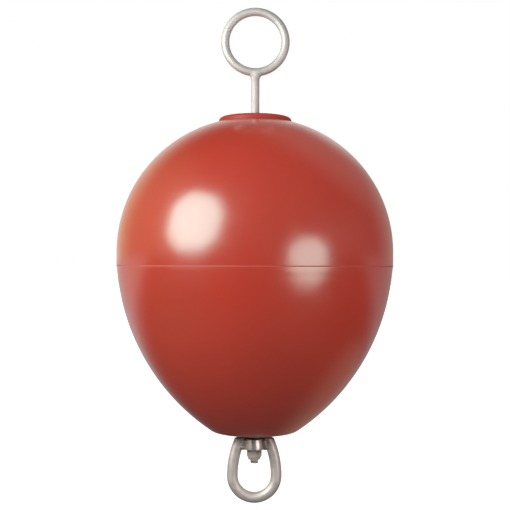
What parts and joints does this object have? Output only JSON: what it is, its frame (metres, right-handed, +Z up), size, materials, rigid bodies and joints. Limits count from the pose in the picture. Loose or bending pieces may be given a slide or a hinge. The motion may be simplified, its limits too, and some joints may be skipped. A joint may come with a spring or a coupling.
{
  "type": "mooring buoy",
  "caption": "Egg-shaped rigid plastic mooring float on a through-rod, with a welded steel ring on top and a free-turning welded swivel bow below.",
  "frame": {"origin": "on the axis, in the plane of the seam between the two halves of the float, which is taken as the loaded waterline", "axes": "+Z up along the rod, ring and bow in the XZ plane, +Y away from the viewer"},
  "size_m": [0.4, 0.4, 0.7228],
  "materials": {
    "float_red": "semi-gloss moulded plastic, orange red",
    "collar_red": "satin moulded plastic, red",
    "rod_steel": "bright satin stainless bar",
    "weld_steel": "rippled weld with faint heat tint",
    "washer_black": "black moulded nylon",
    "nut_steel": "machined steel",
    "insert_nylon": "natural nylon",
    "swivel_steel": "tumbled satin steel"
  },
  "bodies": {
    "buoy": {"upper_shell": "float_red", "lower_shell": "float_red", "top_collar": "collar_red", "center_rod": "rod_steel", "top_ring": "rod_steel", "ring_weld": "weld_steel", "thrust_washer": "washer_black", "lock_nut": "nut_steel", "nut_insert": "insert_nylon"},
    "swivel": {"swivel_hub": "swivel_steel", "swivel_bow": "swivel_steel", "swivel_welds": "weld_steel"}
  },
  "joints": [
    {"name": "swivel_spin", "type": "hinge", "parent": "buoy", "child": "swivel", "pos_m": [0, 0, -0.261], "axis": [0, 0, 1], "continuous": true}
  ]
}
